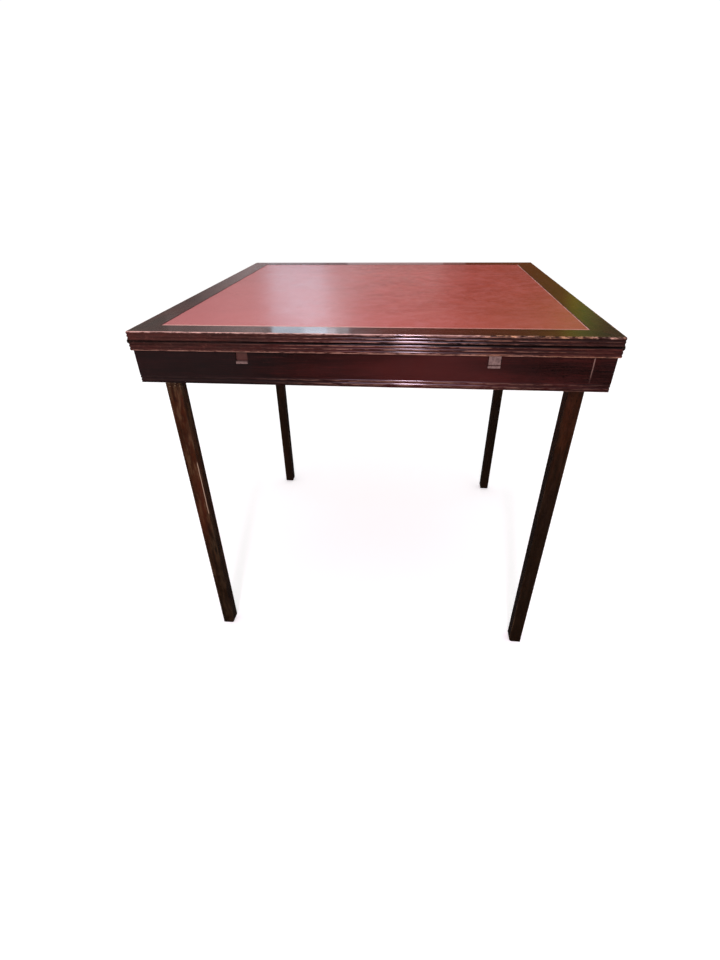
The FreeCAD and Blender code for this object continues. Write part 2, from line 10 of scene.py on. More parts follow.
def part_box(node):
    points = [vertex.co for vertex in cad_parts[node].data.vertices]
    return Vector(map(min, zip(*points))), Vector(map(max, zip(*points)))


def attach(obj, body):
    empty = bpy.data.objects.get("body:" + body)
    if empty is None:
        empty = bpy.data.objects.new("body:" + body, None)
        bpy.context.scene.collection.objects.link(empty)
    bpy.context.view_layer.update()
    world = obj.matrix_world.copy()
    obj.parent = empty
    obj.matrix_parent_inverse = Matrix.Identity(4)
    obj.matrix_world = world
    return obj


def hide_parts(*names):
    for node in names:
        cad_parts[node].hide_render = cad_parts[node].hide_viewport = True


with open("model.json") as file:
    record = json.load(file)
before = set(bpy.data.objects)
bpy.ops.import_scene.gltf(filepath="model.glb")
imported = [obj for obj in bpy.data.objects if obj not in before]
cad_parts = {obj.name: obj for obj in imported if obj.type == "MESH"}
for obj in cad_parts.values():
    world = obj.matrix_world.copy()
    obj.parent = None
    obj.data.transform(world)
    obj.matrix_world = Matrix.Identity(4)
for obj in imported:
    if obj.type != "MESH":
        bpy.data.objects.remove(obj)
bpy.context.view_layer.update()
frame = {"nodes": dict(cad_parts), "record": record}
nodes = frame["nodes"]
scene = bpy.context.scene

# A square folding gaming table in dark polished mahogany, with a red leather top. Its shapes are
# the frame's own, apart from the leather, the baize and the slotted screws, which are made here.
# Lengths are in metres: x runs to the right, y to the back and z up from the floor.

# ------------------------------------------------------------------ places taken from the frame

upper_low, upper_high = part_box("upper_front_rail")
lower_low, lower_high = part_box("lower_front_rail")
apron_low, apron_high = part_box("front_rail")
leg_low, leg_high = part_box("front_right_leg")
LEAF_EDGE = upper_high.x                    # half the side of a leaf
TOP = upper_high.z                          # height of the closed table
GAP = (upper_low.z + lower_high.z) / 2      # height of the gap between the closed leaves
LEAF_FOOT = lower_low.z                     # lower edge of the lower leaf
LEATHER_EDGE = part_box("leather_top")[1].x   # half the side of the leather
APRON_FACE = apron_high.x                   # half the width of the box
BEADS_TOP = apron_low.z + 0.012             # top of the beads along the foot of the box
LEG_HALF = (leg_high.x - leg_low.x) / 2
LEG_CENTRE = (leg_high.x + leg_low.x) / 2   # how far a leg's axis is from the middle, both ways
LEG_FACE = leg_high.x                       # how far its outer faces are
LOPER_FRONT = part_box("left_loper")[0].y


# ------------------------------------------------------------------ small shader helpers

def shader(tree, kind, inputs=None, **settings):
    """Adds a node. An input is a value, or another node's output, which is then linked."""
    made = tree.nodes.new(kind)
    for name, value in settings.items():
        setattr(made, name, value)
    for name, value in (inputs or {}).items():
        if isinstance(value, bpy.types.NodeSocket):
            tree.links.new(value, made.inputs[name])
        else:
            made.inputs[name].default_value = value
    return made


def math_node(tree, operation, first, second=0.0, third=0.0, clamp=False):
    made = shader(tree, "ShaderNodeMath", {0: first, 1: second, 2: third}, operation=operation)
    made.use_clamp = clamp
    return made.outputs[0]


def product(tree, *masks):
    """All of the masks multiplied. A plain number may be one of them."""
    whole = masks[0]
    for mask in masks[1:]:
        whole = math_node(tree, "MULTIPLY", whole, mask)
    return whole


def highest(tree, *masks):
    """The highest of the masks at each place."""
    whole = masks[0]
    for mask in masks[1:]:
        whole = math_node(tree, "MAXIMUM", whole, mask)
    return whole


def ramp(tree, value, low, high, start=0.0, end=1.0, linear=False):
    """start below low, end above high, and a smooth or a straight step between them."""
    made = shader(tree, "ShaderNodeMapRange",
                  {"Value": value, "From Min": low, "From Max": high,
                   "To Min": start, "To Max": end},
                  interpolation_type="LINEAR" if linear else "SMOOTHSTEP")
    return made.outputs["Result"]


def colour_steps(tree, value, steps):
    """A run of colours: steps are pairs of a place from 0 to 1 and a colour."""
    made = shader(tree, "ShaderNodeValToRGB", {"Fac": value})
    elements = made.color_ramp.elements
    while len(elements) < len(steps):
        elements.new(0.5)
    for element, (place, colour) in zip(elements, steps):
        element.position = place
        element.color = (*colour, 1)
    return made.outputs["Color"]


def mix_colour(tree, share, first, second):
    """The first colour, with this share of the second mixed in."""
    made = shader(tree, "ShaderNodeMix", data_type="RGBA")
    for index, value in ((0, share), (6, first), (7, second)):
        if isinstance(value, bpy.types.NodeSocket):
            tree.links.new(value, made.inputs[index])
        elif index == 0:
            made.inputs[index].default_value = value
        else:
            made.inputs[index].default_value = (*value, 1)
    return made.outputs[2]


def noise_at(tree, place, scale, detail, roughness, distortion=0.0):
    made = shader(tree, "ShaderNodeTexNoise",
                  {"Vector": place, "Scale": scale, "Detail": detail, "Roughness": roughness,
                   "Distortion": distortion})
    return made.outputs["Fac"]


def stretched(tree, place, scale, offset=(0, 0, 0)):
    """The place, scaled along each axis and then moved by the offset."""
    made = shader(tree, "ShaderNodeMapping",
                  {"Vector": place, "Scale": scale, "Location": offset})
    return made.outputs["Vector"]


def object_place(tree):
    return shader(tree, "ShaderNodeTexCoord").outputs["Object"]


def split(tree, place):
    return shader(tree, "ShaderNodeSeparateXYZ", {"Vector": place}).outputs


def along_grain(tree, place, axis):
    """The place with its first number along the grain."""
    parts = split(tree, place)
    order = GRAIN_AXES[axis]
    joined = shader(tree, "ShaderNodeCombineXYZ",
                    {"X": parts[order[0]], "Y": parts[order[1]], "Z": parts[order[2]]})
    return joined.outputs[0]


def broken(tree, grain, along, across, low, high):
    """Patches drawn out along the grain, for wear that comes and goes."""
    patches = noise_at(tree, stretched(tree, grain, (along, across, across)), 1.0, 5, 0.72)
    return ramp(tree, patches, low, high)


def reach_of(tree, place):
    """How far a place is from the middle of the table, towards the side it is nearest to."""
    x, y, z = split(tree, place)
    return highest(tree, math_node(tree, "ABSOLUTE", x), math_node(tree, "ABSOLUTE", y))


def scratch(tree, across, along, middle, half_width, low, high):
    """A thin mark that runs along one axis, from low to high, and wanders a little."""
    wander = 0.0006
    line = shader(tree, "ShaderNodeCombineXYZ", {"X": along})
    drift = math_node(tree, "MULTIPLY_ADD", noise_at(tree, line.outputs[0], 55.0, 3, 0.6),
                      2 * wander, -middle - wander)
    distance = math_node(tree, "ABSOLUTE", math_node(tree, "ADD", across, drift))
    return product(tree, ramp(tree, distance, half_width * 1.5, half_width * 0.5),
                   ramp(tree, along, low - 0.002, low + 0.003),
                   ramp(tree, along, high + 0.003, high - 0.003))


def bump(tree, height, distance, strength):
    inputs = {"Height": height, "Distance": distance, "Strength": strength}
    return shader(tree, "ShaderNodeBump", inputs).outputs["Normal"]


def new_material(name):
    material = bpy.data.materials.new(name)
    material.use_nodes = True
    tree = material.node_tree
    tree.nodes.clear()
    output = tree.nodes.new("ShaderNodeOutputMaterial")
    surface = tree.nodes.new("ShaderNodeBsdfPrincipled")
    tree.links.new(surface.outputs["BSDF"], output.inputs["Surface"])
    return material, tree, surface


def feed(tree, surface, **sockets):
    """Links or sets the surface's inputs: base_color=... stands for Base Color."""
    for name, value in sockets.items():
        words = name.replace("_", " ").title().replace("Ior", "IOR")
        socket = surface.inputs[words]
        if isinstance(value, bpy.types.NodeSocket):
            tree.links.new(value, socket)
        elif isinstance(value, tuple):
            socket.default_value = (*value, 1)
        else:
            socket.default_value = value


# ------------------------------------------------------------------ mahogany

GRAIN_AXES = {"x": (0, 1, 2), "y": (1, 0, 2), "z": (2, 0, 1)}

POLISH = 0.95                       # weight of the clear polish over the wood
DULLED = 0.47                       # the same on the lower leaf
WORN_POLISH = 0.35                  # share of it left where the wood is worn through

# near-black: the dark in the pores, and painted shade on the edges beside the gap between the closed
# leaves
PORE_DARK_AND_GAP_SHADE = (0.004, 0.002, 0.0016)
TAN = (0.60, 0.31, 0.17)            # bare wood on the top arris near its right end
SMOKE = (0.0128, 0.0088, 0.0082)    # the left end of the box, gone dull and brown-black

# dark ground, warm streaks, red bands, worn wood, and the palest worn wood
Tones = namedtuple("Tones", "dark warm red worn palest")
LEAF_TONES = Tones((0.011, 0.0036, 0.0028), (0.044, 0.0105, 0.0070), (0.080, 0.0165, 0.0110),
                   (0.175, 0.066, 0.050), (0.62, 0.38, 0.32))
LOWER_LEAF_TONES = Tones((0.0108, 0.0034, 0.0027), (0.039, 0.0092, 0.0069),
                         (0.084, 0.0145, 0.0108), (0.160, 0.064, 0.046), (0.62, 0.34, 0.25))
APRON_TONES = Tones((0.0068, 0.0018, 0.0014), (0.0215, 0.0030, 0.0022), (0.054, 0.0086, 0.0074),
                    (0.100, 0.042, 0.026), (0.42, 0.26, 0.21))
LEG_TONES = Tones((0.0078, 0.0034, 0.0008), (0.034, 0.0088, 0.0016), (0.064, 0.0115, 0.0024),
                  (0.115, 0.064, 0.028), (0.40, 0.29, 0.20))
LOPER_TONES = Tones((0.012, 0.0040, 0.0032), (0.046, 0.0120, 0.0085), (0.080, 0.0180, 0.0120),
                    (0.105, 0.046, 0.036), (0.38, 0.25, 0.20))

# how far to the right each effect begins, and how far to the right it is full
WORN_AND_HIGHLIT_FROM_LEFT = (-0.22, 0.02)    # the middle, rubbed and polished by hands, and where the bead crests carry a painted highlight
WORN_AND_HIGHLIT_FROM_RIGHT = (0.36, 0.10)
THINNED_LINE = (-0.20, -0.04)       # the worn line along the top arris is a little weaker
ROUGH_END = (0.11, 0.20)            # the top arris is chipped
TAN_END = (0.08, 0.24)
DULL_END = (-0.10, -0.26)
GRITTY_END = (-0.06, -0.24)
SMOKY_END = (-0.06, -0.26)
LEFT_LEGS = (-0.30, -0.31)          # the left legs and, measured backwards, the front ones

# one old scratch near the right end of the box, and one on the front left leg
BOX_SCRATCH = {"middle": 0.3452, "half_width": 0.0008, "low": 0.617, "high": 0.655}
LEG_SCRATCH = {"middle": -LEG_CENTRE + LEG_HALF - 0.0011, "half_width": 0.0007,
               "low": 0.319, "high": 0.437}

# each leg darkens downwards from this height, by this share
LEG_SHADES = {"front_left": (0.34, 0.65), "front_right": (0.62, 0.85),
              "back_right": (0.62, 0.85), "back_left": (0.62, 0.70)}
LEG_SHADE_LENGTH = 0.32
SPECKLED_BAND = (0.580, 0.598)      # heights of a band of pale specks on the front left leg
BAND_EDGE = 0.006


def mahogany(name, axis, seed, tones, wear_and_highlight_of, stain_and_painted_light_of=None, polish=POLISH):
    """Dark polished mahogany: figure, fibres and pores along the grain, and a cloudy polish with
    fine scratches. stain_and_painted_light_of changes its colour and its palest worn tone by the
    place on the table, with stains, painted shade between the leaves and a painted highlight on the
    box. wear_and_highlight_of builds two masks, soft and hard, of wear and of painted highlight on
    bead crests, from the place and the grain."""
    material, tree, surface = new_material(name)
    place = object_place(tree)
    # the scales are per metre, first along the grain and then across it
    grain = stretched(tree, along_grain(tree, place, axis), (1, 1, 1),
                      (seed * 1.7, seed * 0.61, seed * 0.37))
    streaks = noise_at(tree, stretched(tree, grain, (5, 90, 90)), 1.0, 6, 0.65, 0.5)
    bands = noise_at(tree, stretched(tree, grain, (2.2, 16, 16)), 1.0, 4, 0.55, 1.0)
    fibres = noise_at(tree, stretched(tree, grain, (22, 700, 700)), 1.0, 3, 0.62)
    pores = noise_at(tree, stretched(tree, grain, (110, 1900, 1900)), 1.0, 2, 0.5)
    pore = ramp(tree, pores, 0.57, 0.66)
    cloud = noise_at(tree, place, 11.0, 5, 0.62)
    speckle = noise_at(tree, place, 420.0, 3, 0.7)

    colour = mix_colour(tree, ramp(tree, streaks, 0.34, 0.66), tones.dark, tones.warm)
    colour = mix_colour(tree, ramp(tree, bands, 0.42, 0.72, 0.0, 0.75), colour, tones.red)
    colour = mix_colour(tree, ramp(tree, cloud, 0.36, 0.66, 0.0, 0.5), colour, tones.dark)
    colour = mix_colour(tree, ramp(tree, fibres, 0.50, 0.78, 0.0, 0.60), colour, tones.red)
    colour = mix_colour(tree, ramp(tree, fibres, 0.46, 0.24, 0.0, 0.75), colour, tones.dark)
    colour = mix_colour(tree, product(tree, pore, 0.8), colour, PORE_DARK_AND_GAP_SHADE)
    colour = mix_colour(tree, ramp(tree, speckle, 0.60, 0.78, 0.0, 0.30), colour, tones.worn)
    palest = tones.palest
    if stain_and_painted_light_of:
        colour, palest = stain_and_painted_light_of(tree, place, bands, cloud, colour, tones)
    # the two masks hold wear, and on bead crests a painted highlight as well
    soft_wear_and_highlight, hard_wear_and_highlight = wear_and_highlight_of(tree, place, grain)
    colour = mix_colour(tree, soft_wear_and_highlight, colour, tones.worn)
    colour = mix_colour(tree, hard_wear_and_highlight, colour, palest)

    wear = highest(tree, soft_wear_and_highlight, hard_wear_and_highlight)
    rough = ramp(tree, noise_at(tree, place, 30.0, 5, 0.68), 0.30, 0.72, 0.30, 0.46)
    rough = math_node(tree, "MULTIPLY_ADD", wear, 0.20, rough, clamp=True)
    height = math_node(tree, "MULTIPLY_ADD", pore, -0.8, product(tree, fibres, 0.6))
    scratches = noise_at(tree, stretched(tree, grain, (40, 900, 900), (0.3, 0.1, 0.7)), 1.0, 2, 0.5)
    film = math_node(tree, "MULTIPLY_ADD", scratches, 0.25, noise_at(tree, place, 85.0, 3, 0.6))
    feed(tree, surface, base_color=colour, roughness=rough,
         normal=bump(tree, height, 0.00010, 0.50), ior=1.5,
         coat_weight=ramp(tree, wear, 0.0, 1.0, polish, polish * WORN_POLISH),
         coat_roughness=0.09, coat_normal=bump(tree, film, 0.00010, 0.25))
    surface.inputs["Specular IOR Level"].default_value = 0.10
    return material


def leaf_gap_shade_and_tan(tree, place, bands, cloud, colour, tones):
    """Painted shade, near-black, on the rounded edges beside the gap between the closed leaves, and
    bare wood that is tan at the right end."""
    off_gap = math_node(tree, "ABSOLUTE", math_node(tree, "SUBTRACT", split(tree, place)[2], GAP))
    # painted shade: near-black on the rounded edges within about 2 mm of the gap between the closed
    # leaves
    painted_gap_shade = product(tree, ramp(tree, off_gap, 0.0024, 0.0010),
                    ramp(tree, reach_of(tree, place), LEAF_EDGE - 0.005, LEAF_EDGE - 0.003))
    colour = mix_colour(tree, painted_gap_shade, colour, PORE_DARK_AND_GAP_SHADE)
    tanned = product(tree, ramp(tree, split(tree, place)[0], *TAN_END),
                     ramp(tree, cloud, 0.60, 0.40))
    return colour, mix_colour(tree, tanned, tones.palest, TAN)


def apron_highlight_and_stain_along(axis):
    """The colour of a side of the box that runs along this axis: redder about its middle, which is a
    painted highlight, and dull and brown-black near its start, which is the left end of the front."""
    def stain(tree, place, bands, cloud, colour, tones):
        run = split(tree, along_grain(tree, place, axis))[0]
        # painted highlight: the middle of each side made more red, in place of a soft glow of light
        redder = product(tree, ramp(tree, run, -0.16, 0.05), ramp(tree, run, 0.30, 0.12),
                         ramp(tree, bands, 0.30, 0.60, 0.5, 1.0))
        colour = mix_colour(tree, product(tree, redder, 0.75), colour, tones.red)
        colour = mix_colour(tree, ramp(tree, run, *SMOKY_END, 0.0, 0.62), colour, SMOKE)
        return colour, tones.palest
    return stain


def leg_darkening_of(corner):
    """Darkens one leg downwards."""
    def stain(tree, place, bands, cloud, colour, tones):
        start, share = LEG_SHADES[corner]
        shade = ramp(tree, split(tree, place)[2], start, start - LEG_SHADE_LENGTH, 0.0, share)
        return mix_colour(tree, shade, colour, tones.dark), tones.palest
    return stain


def front_middle(tree, x, left, right):
    """1 in the middle of the table's width, falling to left and right at its ends."""
    return math_node(tree, "MINIMUM", ramp(tree, x, *WORN_AND_HIGHLIT_FROM_LEFT, left, 1.0),
                     ramp(tree, x, *WORN_AND_HIGHLIT_FROM_RIGHT, right, 1.0))


def leaf_wear_and_highlight(tree, place, grain):
    """Wear on the top arris, pale bead crests that are wear and a painted highlight strongest in the
    middle, a pale lower edge, and a dull left end.
    """
    x, y, z = split(tree, place)
    inward = math_node(tree, "SUBTRACT", LEAF_EDGE, reach_of(tree, place))
    near_face = ramp(tree, inward, 0.004, 0.002)
    chips = broken(tree, grain, 90, 520, 0.38, 0.62)
    # pale bead crests: wear, with a painted highlight that is strongest in the middle of the width
    crest = product(tree, ramp(tree, inward, 0.00007, 0.00002),
                    broken(tree, grain, 46, 420, 0.42, 0.58), front_middle(tree, x, 0.10, 0.15))

    above_foot = math_node(tree, "SUBTRACT", z, LEAF_FOOT)
    above_foot = math_node(tree, "MULTIPLY_ADD", chips, -0.0012, above_foot)
    foot = product(tree, ramp(tree, above_foot, 0.0012, 0.0005),
                   ramp(tree, inward, 0.0014, 0.0006),
                   broken(tree, grain, 30, 300, 0.34, 0.52), front_middle(tree, x, 0.70, 0.80))

    # the chips are 0.8 mm deep along the top arris, and 2.2 mm deep at its rough end
    rough_end = ramp(tree, x, *ROUGH_END)
    depth = math_node(tree, "MULTIPLY_ADD", rough_end, 0.0014, 0.0008)
    from_arris = math_node(tree, "ADD", inward, math_node(tree, "SUBTRACT", TOP, z))
    from_arris = math_node(tree, "SUBTRACT", from_arris, product(tree, chips, depth))
    solid = product(tree, broken(tree, grain, 30, 220, 0.20, 0.40),
                    ramp(tree, x, *THINNED_LINE, 0.92, 0.78))
    specks = product(tree, broken(tree, grain, 110, 330, 0.45, 0.60), 0.75)
    worn_through = shader(tree, "ShaderNodeMix", {0: rough_end, 2: solid, 3: specks}).outputs[0]
    arris = product(tree, ramp(tree, from_arris, 0.0013, 0.0004), worn_through)

    scuffs = product(tree, broken(tree, place, 120, 120, 0.62, 0.76),
                     ramp(tree, inward, 0.004, 0.0005))
    dull = product(tree, ramp(tree, x, *DULL_END), broken(tree, grain, 12, 160, 0.30, 0.60),
                   near_face)
    grit = product(tree, broken(tree, place, 240, 240, 0.50, 0.68), ramp(tree, x, *GRITTY_END),
                   near_face)
    soft = highest(tree, crest, foot, product(tree, scuffs, 0.25), product(tree, dull, 0.10),
                   product(tree, grit, 0.32))
    hard = highest(tree, arris, product(tree, crest, 0.24), product(tree, foot, 0.30))
    return soft, hard


def apron_wear_and_highlight(tree, place, grain):
    """Wear and a painted highlight, strongest in the middle, on the bead crests along the foot of the
    box, and one old scratch near the right end.
    """
    x, y, z = split(tree, place)
    # pale bead crests: wear, with a painted highlight that is strongest in the middle of the width
    crest = product(tree, ramp(tree, reach_of(tree, place), APRON_FACE - 0.00025,
                               APRON_FACE - 0.00004),
                    ramp(tree, z, BEADS_TOP + 0.0005, BEADS_TOP - 0.0005),
                    broken(tree, grain, 40, 420, 0.42, 0.60), front_middle(tree, x, 0.06, 0.38))
    scuffs = broken(tree, place, 34, 34, 0.60, 0.80)
    on_front = ramp(tree, y, -APRON_FACE + 0.004, -APRON_FACE + 0.002)
    mark = product(tree, on_front, ramp(tree, z, 0.615, 0.645, 0.25, 1.0),
                   broken(tree, place, 140, 140, 0.30, 0.50), scratch(tree, x, z, **BOX_SCRATCH))
    soft = highest(tree, crest, product(tree, scuffs, 0.08))
    hard = highest(tree, product(tree, mark, 0.36), product(tree, crest, 0.15))
    return soft, hard


def leg_wear(tree, place, grain):
    """Rubbed arrises and grey patches. The patches are strongest on the front left leg, which also
    has a long scratch and a band of specks."""
    x, y, z = split(tree, place)
    off_x = math_node(tree, "SUBTRACT", math_node(tree, "ABSOLUTE", x), LEG_CENTRE)
    off_y = math_node(tree, "SUBTRACT", math_node(tree, "ABSOLUTE", y), LEG_CENTRE)
    off_axis = math_node(tree, "MINIMUM", math_node(tree, "ABSOLUTE", off_x),
                         math_node(tree, "ABSOLUTE", off_y))
    arris = product(tree, ramp(tree, off_axis, LEG_HALF - 0.0022, LEG_HALF - 0.0010),
                    broken(tree, grain, 9, 120, 0.50, 0.68))
    left = ramp(tree, x, *LEFT_LEGS)
    front_left = product(tree, left, ramp(tree, y, *LEFT_LEGS))
    patches = product(tree, broken(tree, grain, 24, 110, 0.46, 0.66),
                      ramp(tree, z, 0.06, 0.50, 0.18, 0.46),
                      ramp(tree, front_left, 0.0, 1.0, 0.12, 1.0))
    front_face = ramp(tree, y, -LEG_FACE + 0.011, -LEG_FACE + 0.002)
    mark = product(tree, left, front_face, scratch(tree, x, z, **LEG_SCRATCH))
    low, high = SPECKLED_BAND
    specks = product(tree, left, front_face,
                     ramp(tree, z, low, low + BAND_EDGE), ramp(tree, z, high, high - BAND_EDGE),
                     ramp(tree, noise_at(tree, place, 330.0, 2, 0.5), 0.60, 0.68))
    soft = highest(tree, product(tree, arris, 0.7), patches)
    hard = highest(tree, product(tree, mark, 0.75), product(tree, specks, 0.5))
    return soft, hard


def loper_wear(tree, place, grain):
    """Bare end grain at the front, and the polish rubbed off in use elsewhere."""
    y = split(tree, place)[1]
    end_grain = ramp(tree, y, LOPER_FRONT + 0.0030, LOPER_FRONT + 0.0008)
    rubbed = broken(tree, grain, 8, 60, 0.5, 0.75)
    soft = highest(tree, product(tree, end_grain, 0.55), product(tree, rubbed, 0.3))
    return soft, product(tree, rubbed, 0.05)


# ------------------------------------------------------------------ leather, cloth, plain wood, metal

LEATHER_DEEP = (0.350, 0.053, 0.036)
LEATHER_RED = (0.475, 0.090, 0.068)
LEATHER_DUSTY_AND_SHEEN = (0.620, 0.212, 0.216)
LEATHER_BROWNED = (0.300, 0.088, 0.040)
LEATHER_CUT = (0.76, 0.44, 0.38)
BAIZE_SHADOW = (0.008, 0.050, 0.020)
BAIZE_GREEN = (0.010, 0.072, 0.026)
BAIZE_FADED = (0.020, 0.108, 0.042)
BAIZE_FIBRE = (0.050, 0.185, 0.085)
BLACKENED = (0.045, 0.024, 0.014)   # tarnish on the hinge knuckles


def red_leather():
    """Mottled leather with a slight polish, paler to the left and a little to the front by a painted
    sheen, and a raw edge where it was cut.
    """
    material, tree, surface = new_material("red_leather")
    place = object_place(tree)
    x, y, z = split(tree, place)
    large = noise_at(tree, stretched(tree, place, (5, 8, 6)), 1.0, 4, 0.60, 0.8)
    small = noise_at(tree, place, 46.0, 6, 0.68)
    fine = noise_at(tree, place, 360.0, 4, 0.75)
    strokes = noise_at(tree, stretched(tree, place, (4, 17, 4)), 1.0, 3, 0.55, 0.6)
    patches = noise_at(tree, place, 13.0, 5, 0.66)
    colour = mix_colour(tree, ramp(tree, large, 0.34, 0.64), LEATHER_DEEP, LEATHER_RED)
    mottles = ((small, 0.38, 0.68, 0.42, LEATHER_DUSTY_AND_SHEEN), (strokes, 0.54, 0.74, 0.22, LEATHER_DEEP),
               (patches, 0.52, 0.72, 0.24, LEATHER_DEEP), (fine, 0.42, 0.72, 0.46, LEATHER_DUSTY_AND_SHEEN),
               (fine, 0.44, 0.26, 0.35, LEATHER_DEEP))
    for mottle, low, high, share, tint in mottles:
        colour = mix_colour(tree, ramp(tree, mottle, low, high, 0.0, share), colour, tint)

    # painted sheen: pale and dusty to the left and a little to the front; browned at the right front
    # corner
    colour = mix_colour(tree, ramp(tree, x, 0.10, -0.30, 0.0, 0.82), colour, LEATHER_DUSTY_AND_SHEEN)
    colour = mix_colour(tree, ramp(tree, y, -0.10, -0.33, 0.0, 0.12), colour, LEATHER_DUSTY_AND_SHEEN)
    browned = product(tree, ramp(tree, x, 0.0, 0.34), ramp(tree, y, 0.10, -0.32))
    colour = mix_colour(tree, product(tree, browned, 0.55), colour, LEATHER_BROWNED)

    cut_front = product(tree, ramp(tree, y, -LEATHER_EDGE + 0.0065, -LEATHER_EDGE + 0.0045),
                        ramp(tree, x, 0.20, -0.10, 0.45, 1.0),
                        broken(tree, place, 20, 20, 0.30, 0.45))
    cut_right = product(tree, ramp(tree, x, LEATHER_EDGE - 0.0030, LEATHER_EDGE - 0.0016),
                        broken(tree, place, 26, 26, 0.36, 0.52))
    cut = highest(tree, cut_front, cut_right)
    colour = mix_colour(tree, cut, colour, LEATHER_CUT)
    cells = shader(tree, "ShaderNodeTexVoronoi", {"Vector": place, "Scale": 700.0},
                   feature="DISTANCE_TO_EDGE")
    off_crease = cells.outputs["Distance"]
    pebbles = ramp(tree, off_crease, 0.0, 0.30)
    # painted shade: the creases between the pebbles of the grain drawn darker
    colour = mix_colour(tree, ramp(tree, off_crease, 0.16, 0.0, 0.0, 0.40), colour, LEATHER_DEEP)

    height = math_node(tree, "MULTIPLY_ADD", small, 0.12, pebbles)
    rough = ramp(tree, noise_at(tree, place, 18.0, 5, 0.65), 0.30, 0.70, 0.17, 0.23)
    rough = math_node(tree, "MULTIPLY_ADD", cut, 0.4, rough, clamp=True)
    feed(tree, surface, base_color=colour, roughness=rough, ior=1.5,
         normal=bump(tree, height, 0.00010, 0.40))
    return material


def green_baize():
    """Napped wool cloth: short fibres over a faint twill, a little faded in patches."""
    material, tree, surface = new_material("green_baize")
    place = object_place(tree)
    fibres = noise_at(tree, place, 1100.0, 5, 0.75, 0.6)
    cloud = noise_at(tree, place, 7.0, 4, 0.55)
    twill = shader(tree, "ShaderNodeTexWave",
                   {"Vector": place, "Scale": 260.0, "Distortion": 2.5, "Detail": 3.0},
                   bands_direction="DIAGONAL").outputs["Fac"]
    colour = mix_colour(tree, ramp(tree, cloud, 0.3, 0.7), BAIZE_GREEN, BAIZE_FADED)
    colour = mix_colour(tree, product(tree, twill, 0.25), colour, BAIZE_SHADOW)
    colour = mix_colour(tree, ramp(tree, fibres, 0.45, 0.75, 0.0, 0.55), colour, BAIZE_FIBRE)
    height = math_node(tree, "MULTIPLY_ADD", twill, 0.3, fibres)
    feed(tree, surface, base_color=colour, roughness=0.95,
         normal=bump(tree, height, 0.0005, 0.8))
    surface.inputs["Sheen Weight"].default_value = 0.2
    surface.inputs["Sheen Roughness"].default_value = 0.5
    return material


def plain_wood(name, axis, light, dark, roughness):
    """Unpolished or lightly stained wood with straight grain."""
    material, tree, surface = new_material(name)
    place = along_grain(tree, object_place(tree), axis)
    streaks = noise_at(tree, stretched(tree, place, (4, 90, 90)), 1.0, 5, 0.6, 0.4)
    flecks = noise_at(tree, stretched(tree, place, (120, 900, 900)), 1.0, 2, 0.5)
    cloud = noise_at(tree, place, 16.0, 4, 0.6)
    colour = mix_colour(tree, ramp(tree, streaks, 0.35, 0.68), dark, light)
    colour = mix_colour(tree, ramp(tree, flecks, 0.58, 0.72, 0.0, 0.5), colour, dark)
    colour = mix_colour(tree, ramp(tree, cloud, 0.4, 0.75, 0.0, 0.4), colour, dark)
    feed(tree, surface, base_color=colour, roughness=roughness,
         normal=bump(tree, streaks, 0.0001, 0.4))
    return material


def metal(name, colour, tarnish, roughness, metallic):
    """Dull metal with a cloudy tarnish and fine scratches, nearly black where it stands proud of
    the edges of the leaves."""
    material, tree, surface = new_material(name)
    place = object_place(tree)
    cloud = noise_at(tree, place, 160.0, 5, 0.68)
    scratches = noise_at(tree, stretched(tree, place, (300, 300, 3000)), 1.0, 3, 0.6)
    clouded = mix_colour(tree, ramp(tree, cloud, 0.38, 0.68), colour, tarnish)
    proud = ramp(tree, reach_of(tree, place), LEAF_EDGE + 0.0001, LEAF_EDGE + 0.0004)
    blackened = mix_colour(tree, proud, clouded, BLACKENED)
    rough = ramp(tree, cloud, 0.3, 0.7, roughness, roughness + 0.2)
    feed(tree, surface, base_color=blackened, metallic=metallic, roughness=rough,
         normal=bump(tree, scratches, 0.00003, 0.5))
    return material


# ------------------------------------------------------------------ finish each CAD node

def finish_node(name, material):
    mesh = nodes[name].data
    mesh.materials.clear()
    mesh.materials.append(material)


def soften(name, width, segments=2):
    """Takes the sharpness off the arrises of a CAD node."""
    modifier = nodes[name].modifiers.new("soft_arris", "BEVEL")
    modifier.width = width
    modifier.segments = segments
    modifier.limit_method = "ANGLE"
    modifier.angle_limit = math.radians(32)
    modifier.use_clamp_overlap = True


SIDE_GRAIN = {"front": "x", "back": "x", "left": "y", "right": "y"}
LEAVES = {"upper": (LEAF_TONES, POLISH), "lower": (LOWER_LEAF_TONES, DULLED)}
seed = 0
for side, axis in SIDE_GRAIN.items():
    for leaf, (tones, polish) in LEAVES.items():
        seed += 1
        name = f"{leaf}_{side}_rail"
        wood = mahogany(name + "_wood", axis, seed, tones, leaf_wear_and_highlight, leaf_gap_shade_and_tan, polish)
        finish_node(name, wood)
        soften(name, 0.0003)
    seed += 1
    name = f"{side}_rail"
    wood = mahogany(name + "_wood", axis, seed, APRON_TONES, apron_wear_and_highlight, apron_highlight_and_stain_along(axis))
    finish_node(name, wood)
    soften(name, 0.0004)
for corner in LEG_SHADES:
    seed += 1
    name = corner + "_leg"
    wood = mahogany(name + "_wood", "z", seed, LEG_TONES, leg_wear, leg_darkening_of(corner))
    finish_node(name, wood)
    soften(name, 0.0012, 3)
for side in ("left", "right"):
    seed += 1
    name = side + "_loper"
    finish_node(name, mahogany(name + "_wood", "y", seed, LOPER_TONES, loper_wear))
    soften(name, 0.0004)

